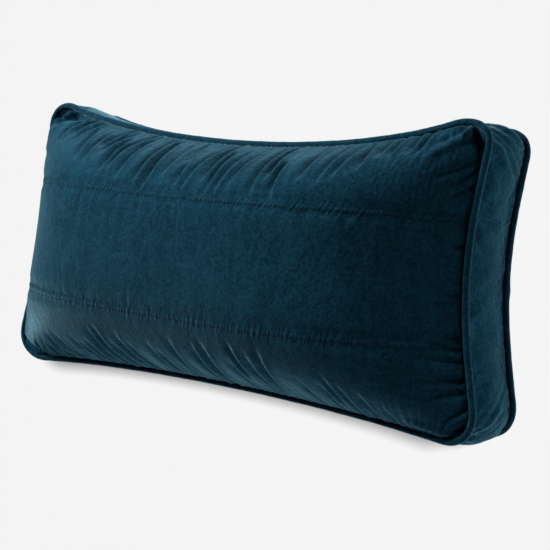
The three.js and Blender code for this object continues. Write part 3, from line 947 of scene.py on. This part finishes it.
def cut_pile_velvet(look):
    """Cotton velvet: cut pile woven in, dyed teal and brushed one way.

    The upright pile swallows light seen from above and returns it at a glancing angle, so
    the cloth is nearly black where it faces the eye and pale along its rounded edges. The
    sheen gives that; patches of disturbed nap and the pile's own grain break it up.
    """
    material, tree = new_material("teal_cut_pile_velvet")
    place = add_node(tree, "ShaderNodeTexCoord").outputs["Object"]

    # Hand strokes leave patches of nap 15 to 40 mm across, longer up the face. Tufts of pile
    # lean together in flecks of 3 to 8 mm. A single tuft is 0.2 mm, far finer than shows from
    # a step away, so the grain is drawn at 4 mm. The seams draw the cloth into puckers about
    # 6 mm apart that fade beside them.
    stretched = add_node(
        tree, "ShaderNodeMapping", {"Scale": (1.0, 0.5, 1.0)}, {"Vector": place}
    ).outputs["Vector"]
    seam, near = (
        add_node(tree, "ShaderNodeAttribute", attribute_name=name, attribute_type="GEOMETRY")
        for name in ("seam_place", "seam_near")
    )
    strokes, flecks, grain, puckers = (
        add_node(
            tree,
            "ShaderNodeTexNoise",
            {"Scale": scale, "Detail": detail, "Roughness": roughness, "Distortion": twist},
            {"Vector": source},
            noise_dimensions=dimensions,
        ).outputs["Fac"]
        for scale, detail, roughness, twist, source, dimensions in (
            (1 / (30 * MM), 4.0, 0.6, 0.5, stretched, "3D"),
            (1 / (9.5 * MM), 3.0, 0.65, 0.3, place, "3D"),
            (1 / (4.2 * MM), 2.0, 0.7, 0.0, place, "3D"),
            (1.0, 1.0, 0.5, 0.0, seam.outputs["Vector"], "2D"),
        )
    )
    mottle = strokes
    for finer_field in (flecks, grain):
        mottle = add_node(
            tree,
            "ShaderNodeMix",
            {"Factor": 0.5},
            {"A": mottle, "B": finer_field},
            data_type="FLOAT",
        ).outputs["Result"]
    ramp = add_node(tree, "ShaderNodeValToRGB", links={"Fac": mottle})
    ends = ((0.40, look.shadow_pile), (0.60, look.lit_pile))
    for element, (position, pile) in zip(ramp.color_ramp.elements, ends):
        element.position, element.color = position, pile

    drawn = add_node(
        tree, "ShaderNodeMath", links={0: puckers, 1: near.outputs["Fac"]}, operation="MULTIPLY"
    ).outputs["Value"]
    under = {}
    for height, strength, depth in (
        (drawn, 1.0, 1.8 * MM),
        (strokes, 0.5, 3.0 * MM),
        (flecks, 0.5, 1.4 * MM),
        (grain, 0.7, 1.0 * MM),
    ):
        bumped = add_node(
            tree,
            "ShaderNodeBump",
            {"Strength": strength, "Distance": depth},
            {"Height": height, **under},
        )
        under = {"Normal": bumped.outputs["Normal"]}
    shader = add_node(
        tree,
        "ShaderNodeBsdfPrincipled",
        {
            "Roughness": 0.85,
            "Specular IOR Level": 0.0,
            "Sheen Weight": look.sheen,
            "Sheen Roughness": look.sheen_spread,
            "Sheen Tint": look.sheen_tint,
        },
        {"Base Color": ramp.outputs["Color"], **under},
    )
    add_node(tree, "ShaderNodeOutputMaterial", links={"Surface": shader.outputs["BSDF"]})
    return material


def spun_polyester(look):
    """Sewing thread: spun polyester, dyed to match, with a dull gloss of its own."""
    material, tree = new_material("spun_polyester_thread")
    shader = add_node(
        tree,
        "ShaderNodeBsdfPrincipled",
        {
            "Base Color": look.thread,
            "Roughness": 0.7,
            "Specular IOR Level": 0.1,
        },
    )
    add_node(tree, "ShaderNodeOutputMaterial", links={"Surface": shader.outputs["BSDF"]})
    return material


def lit_opal_sheet(stage):
    """Opal acrylic lit evenly from below, as under product photographs.

    It stays pale right up to the pillow and leaves only a faint soft shadow.
    """
    material, tree = new_material("backlit_opal_acrylic")
    place = add_node(tree, "ShaderNodeTexCoord").outputs["Object"]
    # The sheet's matt face is speckled about 4.5 mm apart, far coarser than it really is.
    speckle = add_node(
        tree, "ShaderNodeTexNoise", {"Scale": SPECKLES_A_METRE, "Detail": 2.0}, {"Vector": place}
    ).outputs["Fac"]
    bump = add_node(
        tree, "ShaderNodeBump", {"Strength": 0.05, "Distance": 0.0002}, {"Height": speckle}
    ).outputs["Normal"]
    shader = add_node(
        tree,
        "ShaderNodeBsdfPrincipled",
        {
            "Base Color": stage.floor_colour,
            "Roughness": 0.9,
            "Specular IOR Level": 0.05,
            "Emission Color": WHITE,
            "Emission Strength": stage.floor_glow,
        },
        {"Normal": bump},
    )
    add_node(tree, "ShaderNodeOutputMaterial", links={"Surface": shader.outputs["BSDF"]})
    return material


# What a user may change


def colour(name, description, default):
    return bpy.props.FloatVectorProperty(
        name=name, description=description, default=default, size=4, min=0, max=1, subtype="COLOR"
    )


def share(name, description, default, most=1.0):
    return bpy.props.FloatProperty(
        name=name, description=description, default=default, min=0, max=most, subtype="FACTOR"
    )


def lamp_power(name, description, default):
    return bpy.props.FloatProperty(
        name=name, description=description, default=default, min=0, unit="POWER"
    )


def brightness(name, description, default):
    return bpy.props.FloatProperty(name=name, description=description, default=default, min=0)


class PillowGathers(bpy.types.PropertyGroup):
    """How much cloth is gathered into the seams."""

    top: share("Top gathers", "Slack sewn into the front's top edge", 0.018, 0.2)
    bottom: share("Bottom gathers", "Slack sewn into the front's bottom edge", 0.014, 0.2)
    left: share("Left gathers", "Slack sewn into the front's left end", 0.004, 0.2)
    right: share("Right gathers", "Slack sewn into the front's right end", 0.008, 0.2)
    all: share("Slack all over", "Slack of the panels away from their edges", 0.001, 0.05)
    fold_share: share("Fold share", "How much of each drawn fold is kept", 1.05, 1.5)
    crispness: share("Crispness", "How sharply the cloth creases", 0.4, 2.0)
    band: share("Band gathers", "Slack sewn into the band's two edges", 0.025, 0.2)
    band_corner: share("Band corner gathers", "Slack of the band round a corner", 0.03, 0.2)


class VelvetLook(bpy.types.PropertyGroup):
    """The velvet's colours and its sheen."""

    shadow_pile: colour("Shadowed pile", "Pile seen from above its tips", srgb("#0f3446"))
    lit_pile: colour("Lit pile", "Pile brushed against its lie", srgb("#1c5067"))
    thread: colour("Thread", "Dye of the sewing thread", srgb("#12303f"))
    sheen_tint: colour("Sheen tint", "Light that the pile's tips return", srgb("#92cfe4"))
    sheen: share("Sheen", "How strongly the pile's tips shine", 1.0)
    sheen_spread: share("Sheen spread", "How far the sheen reaches from the edges", 0.35)


class StudioStage(bpy.types.PropertyGroup):
    """The floor and the lights."""

    floor_colour: colour("Floor colour", "Opal sheet of the floor", srgb("#595959"))
    floor_glow: brightness("Floor glow", "How brightly the floor is lit from below", 0.30)
    key_power: lamp_power("Key light", "Power of the soft light, top left", 116)
    key_colour: colour("Key colour", "Colour of the soft light, top left", srgb("#ffeeec"))
    low_power: lamp_power("Low light", "Power of the low fill beyond the bottom edge", 12)
    floor_sun: brightness("Floor light", "Strength of the light that falls on the floor", 25.3)
    sky: brightness("Sky", "Strength of the even light all round", 0.01)


# How far in from an edge its slack reaches, in millimetres.
GATHER_REACH = {"top_reach": 175.0, "bottom_reach": 140.0, "end_reach": 50.0}


def gather_values(settings):
    given = {name: getattr(settings, name) for name in PillowGathers.__annotations__}
    return {**given, **GATHER_REACH}


# The pieces and their operators


def cad_shift():
    """From the drawing's own centre to the CAD frame's, level with the floor."""
    u, v = cover_grid()
    line = welt_line(FRONT, u, v, rim_places(u.shape[0] - 1, u.shape[1] - 1))[0]
    low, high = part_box("front_welt")
    middle = (np.array(low) + np.array(high))[:2] / 2 / MM
    drawn = (line.min(0) + line.max(0))[:2] / 2
    return np.array([*(middle - drawn), 0.0])


def cover_points(u, v, gathers):
    """Points of the walls, ring by ring, of the front's inside and of the back's."""
    columns, rows = u.shape[0] - 1, u.shape[1] - 1
    places = rim_places(columns, rows)
    front = seam_detail(gathered_front(u, v, gathers), u, v, 3)
    back = gathered_back(every_second(u), every_second(v), gathers)
    inner = np.clip(places, 1, [columns - 1, rows - 1])
    lines = {side: welt_line(side, u, v, places) for side in (FRONT, BACK)}
    smooth_back = panel(BACK, u, v)
    front_rings = groove_rings(FRONT, *lines[FRONT], front[inner[:, 0], inner[:, 1]])
    back_rings = groove_rings(BACK, *lines[BACK], smooth_back[inner[:, 0], inner[:, 1]])
    corners = [0, rows, rows + columns, 2 * rows + columns]
    band = gathered_band(front_rings[-1], back_rings[-1], lines[FRONT][1], corners, gathers)
    rings = front_rings + [band[:, k] for k in range(1, BAND_ROWS)] + back_rings[::-1]

    least = WELT_RADIUS + WELT_GAP + COVER_CLEARANCE
    front_line, back_line = lines[FRONT][0], lines[BACK][0]
    wall = clear_of(clear_of(np.concatenate(rings), front_line, least), back_line, least)
    inside = clear_of(front[1:-1, 1:-1].reshape(-1, 3), front_line, least)
    under = clear_of(back[1:-1, 1:-1].reshape(-1, 3), back_line, least)
    return wall, inside, under


def back_faces(coarse, fine):
    """Faces of the back panel; those at the rim also take in the finer rim's points."""
    faces = []
    for i in range(coarse.shape[0] - 1):
        for j in range(coarse.shape[1] - 1):
            corners = [(i, j), (i, j + 1), (i + 1, j + 1), (i + 1, j)]
            face = []
            for n, (a, b) in enumerate(corners):
                c, d = corners[(n + 1) % 4]
                face.append(int(coarse[a, b]))
                between = int(fine[a + c, b + d])
                if between >= 0:
                    face.append(between)
            faces.append(face)
    return faces


def cover_faces(places, shape, wall_count, inside_count):
    """Faces of the walls, of the front and of the back, in that order."""
    count = len(places)
    rings = np.arange(wall_count).reshape(-1, count)
    faces = []
    for first, second in zip(rings, rings[1:]):
        faces += ring_quads(first, second)

    grid = np.empty(shape, dtype=int)
    grid[1:-1, 1:-1] = wall_count + np.arange(inside_count).reshape(shape[0] - 2, shape[1] - 2)
    grid[places[:, 0], places[:, 1]] = rings[0]
    quads = [grid[:-1, :-1], grid[1:, :-1], grid[1:, 1:], grid[:-1, 1:]]
    faces += np.stack(quads, axis=-1).reshape(-1, 4).tolist()

    fine = np.full(shape, -1)
    fine[places[:, 0], places[:, 1]] = rings[-1]
    coarse = every_second(fine).copy()
    under = (coarse.shape[0] - 2, coarse.shape[1] - 2)
    first_under = wall_count + inside_count
    coarse[1:-1, 1:-1] = first_under + np.arange(under[0] * under[1]).reshape(under)
    return faces + back_faces(coarse, fine)


def store_seams(mesh, u, v, offset):
    """Keeps on the front's points where they are along and off the nearer flat seam."""
    along, off, near = (field[1:-1, 1:-1].ravel() for field in seam_places(u, v))
    seam_place = np.zeros((len(mesh.vertices), 3))
    seam_near = np.zeros(len(mesh.vertices))
    front = slice(offset, offset + len(along))
    seam_place[front, 0] = (along - DRAWN_SLANT * off) / DRAWN_WIDTH
    seam_place[front, 1] = off / DRAWN_LENGTH
    seam_near[front] = near
    stored = mesh.attributes
    stored.new("seam_place", "FLOAT_VECTOR", "POINT").data.foreach_set(
        "vector", seam_place.ravel()
    )
    stored.new("seam_near", "FLOAT", "POINT").data.foreach_set("value", seam_near)


class PILLOW_OT_cushion(bpy.types.Operator):
    """Sews and fills the velvet cover of the cushion"""

    bl_idname = "pillow.cushion"
    bl_label = "Cushion"

    def execute(self, context):
        gathers = gather_values(context.scene.pillow_gathers)
        u, v = cover_grid()
        places = rim_places(u.shape[0] - 1, u.shape[1] - 1)
        wall, inside, under = cover_points(u, v, gathers)
        points = np.concatenate([wall, inside, under]) + cad_shift()
        faces = cover_faces(places, u.shape, len(wall), len(inside))
        cushion = mesh_object(
            "cushion_cover", points, faces, bpy.data.materials["teal_cut_pile_velvet"]
        )
        cushion.data["first_inside"] = len(wall)
        store_seams(cushion.data, u, v, len(wall))
        lit_pieces().objects.link(cushion)
        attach(cushion, "root")
        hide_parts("cushion")
        return {"FINISHED"}


def stitch_row(line, lift):
    """Points and faces of a row of short stitches that dive into the cloth at their ends."""
    run = np.concatenate([[0.0], np.cumsum(lengths(np.diff(line, axis=0))[:, 0])])
    shares, heights = np.array(STITCH_SHARES), np.array(STITCH_HEIGHTS)
    starts = np.arange(STITCHED_FROM, run[-1] - STITCHED_FROM - STITCH_LENGTH, STITCH_PITCH)
    points, faces = [], []
    for start in starts:
        at = start + shares * STITCH_LENGTH
        middle = np.stack([np.interp(at, run, line[:, k]) for k in range(3)], axis=-1)
        upright = np.stack([np.interp(at, run, lift[:, k]) for k in range(3)], axis=-1)
        ahead = unit(middle[-1:] - middle[:1])
        sideways = unit(np.cross(upright, ahead))
        middle = middle + upright * heights[:, None]
        for turn in np.radians(np.arange(0, 360, 360 / STITCH_SIDES)):
            across = sideways * math.cos(turn) + upright * math.sin(turn)
            points.append(middle + across * THREAD_RADIUS)
    last = len(shares) - 1
    index = np.arange(len(points) * len(shares)).reshape(-1, STITCH_SIDES, len(shares))
    for stitch in index.tolist():
        for side, other in zip(stitch, stitch[1:] + stitch[:1]):
            for k in range(last):
                faces.append([side[k], side[k + 1], other[k + 1], other[k]])
        faces.append([side[0] for side in stitch])
        faces.append([side[last] for side in reversed(stitch)])
    return np.concatenate(points), faces


class PILLOW_OT_topstitching(bpy.types.Operator):
    """Sews the twin rows of stitches along the two flat seams of the front"""

    bl_idname = "pillow.topstitching"
    bl_label = "Topstitching"

    def execute(self, context):
        cover = bpy.data.objects["cushion_cover"].data
        u = cover_grid()[0]
        columns, rows = u.shape[0] - 1, u.shape[1] - 1
        flat = np.empty(len(cover.vertices) * 3)
        cover.vertices.foreach_get("co", flat)
        inside = np.arange((columns - 1) * (rows - 1)) + cover["first_inside"]
        grid = flat.reshape(-1, 3)[inside].reshape(columns - 1, rows - 1, 3) / MM
        normals = grid_normals(grid)
        per_row = 2 * SEAM_ZONE / SEAM_ROWS
        beside_seam = round(STITCH_ROWS_APART / 2 / per_row)
        middles = {
            "lower_topstitch": STRIP_ROWS + SEAM_ROWS // 2,
            "upper_topstitch": STRIP_ROWS + SEAM_ROWS + MIDDLE_ROWS + SEAM_ROWS // 2,
        }
        for name, middle in middles.items():
            points, faces = [], []
            for row in (middle - beside_seam, middle + beside_seam):
                made, quads = stitch_row(grid[:, row], normals[:, row])
                faces += [[k + sum(map(len, points)) for k in quad] for quad in quads]
                points.append(made)
            thread = mesh_object(
                name, np.concatenate(points), faces, bpy.data.materials["spun_polyester_thread"]
            )
            lit_pieces().objects.link(thread)
            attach(thread, "root")
        return {"FINISHED"}


class PILLOW_OT_welts(bpy.types.Operator):
    """Covers the two welt cords with velvet cut on the bias"""

    bl_idname = "pillow.welts"
    bl_label = "Welts"

    def execute(self, context):
        u, v = cover_grid()
        places = rim_places(u.shape[0] - 1, u.shape[1] - 1)
        shift = cad_shift()
        for side, node in ((FRONT, "front_welt"), (BACK, "back_welt")):
            line, outward = welt_line(side, u, v, places)
            run = np.cumsum(lengths(line - np.roll(line, 1, axis=0))[:, 0])
            random = np.random.default_rng(31 + side)
            wobble = np.zeros(len(run))
            for waves, size in WELT_WAVES:
                wobble += size * np.sin(2 * np.pi * waves * run / run[-1] + random.uniform(0, 6))
            radius = WELT_RADIUS + wobble
            if side == BACK:
                off = (line[:, 1] - OVERLAP_PLACE) / OVERLAP_HALF
                radius += OVERLAP_RISE * np.exp(-(off**2)) * (line[:, 0] > 0)
            rings = []
            for n in range(WELT_SIDES):
                degrees = np.full(len(line), 360.0 * n / WELT_SIDES)
                rings.append(beside(line, outward, radius, degrees))
            points = np.stack(rings, axis=1).reshape(-1, 3) + shift
            index = np.arange(len(line) * WELT_SIDES).reshape(len(line), WELT_SIDES)
            ahead = np.roll(index, -1, axis=0)
            quads = [index, ahead, np.roll(ahead, -1, axis=1), np.roll(index, -1, axis=1)]
            faces = np.stack(quads, axis=-1).reshape(-1, 4).tolist()
            welt = mesh_object(
                node + "_cover", points, faces, bpy.data.materials["teal_cut_pile_velvet"]
            )
            lit_pieces().objects.link(welt)
            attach(welt, "root")
            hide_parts(node)
        return {"FINISHED"}


class PILLOW_OT_cloth(bpy.types.Operator):
    """Weaves the velvet that the pieces are covered with"""

    bl_idname = "pillow.cloth"
    bl_label = "Velvet"

    def execute(self, context):
        cut_pile_velvet(context.scene.pillow_velvet)
        spun_polyester(context.scene.pillow_velvet)
        return {"FINISHED"}


def turned_along(heading):
    """The rotation that points a lamp along a heading."""
    return heading.to_track_quat("-Z", "Y").to_euler()


class PILLOW_OT_stage(bpy.types.Operator):
    """Lays the floor and sets the camera and the lights"""

    bl_idname = "pillow.stage"
    bl_label = "Studio"

    def execute(self, context):
        scene, stage = context.scene, context.scene.pillow_stage
        scene.view_settings.view_transform = "Standard"
        corners = [(x * FLOOR_REACH, y * FLOOR_REACH, 0) for x, y in SQUARE]
        floor = mesh_object("studio_floor", corners, [(0, 1, 2, 3)], lit_opal_sheet(stage))

        world = bpy.data.worlds.new("even_sky")
        world.use_nodes = True
        even_light = world.node_tree.nodes["Background"].inputs
        even_light["Color"].default_value = WHITE
        even_light["Strength"].default_value = stage.sky
        scene.world = world

        only_floor = bpy.data.collections.new("floor_only")
        only_floor.objects.link(floor)
        for name, place, power, tint in (
            ("key_softbox", KEY_PLACE, stage.key_power, stage.key_colour[:3]),
            ("low_softbox", LOW_PLACE, stage.low_power, WHITE[:3]),
        ):
            light = bpy.data.lights.new(name, "AREA")
            light.size, light.energy, light.color = SOFTBOX_SIZE, power, tint
            lamp = bpy.data.objects.new(name, light)
            lamp.location = place
            lamp.rotation_euler = turned_along(Vector(LAMP_AIM) - Vector(place))
            lamp.light_linking.receiver_collection = lit_pieces()
            scene.collection.objects.link(lamp)

        # The floor's own light comes from a little above the camera, so its soft shadow only
        # shows under the pillow's bottom edge.
        sun = bpy.data.lights.new("floor_sun", "SUN")
        sun.energy, sun.angle = stage.floor_sun, math.radians(SUN_WIDTH)
        lamp = bpy.data.objects.new("floor_sun", sun)
        lamp.rotation_euler = turned_along(Vector(SUN_HEADING))
        lamp.light_linking.receiver_collection = only_floor
        scene.collection.objects.link(lamp)

        camera = bpy.data.cameras.new("photo_camera")
        camera.lens, camera.sensor_width, camera.clip_end = CAMERA_LENS, 36.0, 50.0
        eye = bpy.data.objects.new("photo_camera", camera)
        back = -Vector(CAMERA_LOOK).normalized()
        right = Vector(CAMERA_UP).cross(back).normalized()
        up = back.cross(right)
        turned = Matrix((right, up, back)).transposed().to_4x4()
        place = Vector(CAMERA_PLACE) + Vector(cad_shift())
        eye.matrix_world = Matrix.Translation(place * MM) @ turned
        scene.collection.objects.link(eye)
        scene.camera = eye
        return {"FINISHED"}


class PILLOW_PT_maker(bpy.types.Panel):
    """Lists the pillow's pieces and what can be changed about them"""

    bl_label = "Velvet body pillow"
    bl_idname = "PILLOW_PT_maker"
    bl_space_type = "VIEW_3D"
    bl_region_type = "UI"
    bl_category = "Pillow"

    def draw(self, context):
        scene = context.scene
        for settings in (scene.pillow_gathers, scene.pillow_velvet, scene.pillow_stage):
            box = self.layout.box()
            for name in settings.__annotations__:
                box.prop(settings, name)
        for operator in OPERATORS:
            self.layout.operator(operator.bl_idname)


GROUPS = {
    "pillow_gathers": PillowGathers,
    "pillow_velvet": VelvetLook,
    "pillow_stage": StudioStage,
}
OPERATORS = (
    PILLOW_OT_cloth,
    PILLOW_OT_cushion,
    PILLOW_OT_topstitching,
    PILLOW_OT_welts,
    PILLOW_OT_stage,
)
CLASSES = (*GROUPS.values(), *OPERATORS, PILLOW_PT_maker)


def register():
    for item in CLASSES:
        bpy.utils.register_class(item)
    for name, group in GROUPS.items():
        setattr(bpy.types.Scene, name, bpy.props.PointerProperty(type=group))


def unregister():
    for name in GROUPS:
        delattr(bpy.types.Scene, name)
    for item in reversed(CLASSES):
        bpy.utils.unregister_class(item)


def main():
    register()
    bpy.ops.pillow.cloth()
    bpy.ops.pillow.cushion()
    bpy.ops.pillow.topstitching()
    bpy.ops.pillow.welts()
    bpy.ops.pillow.stage()


if __name__ == "__main__":
    main()
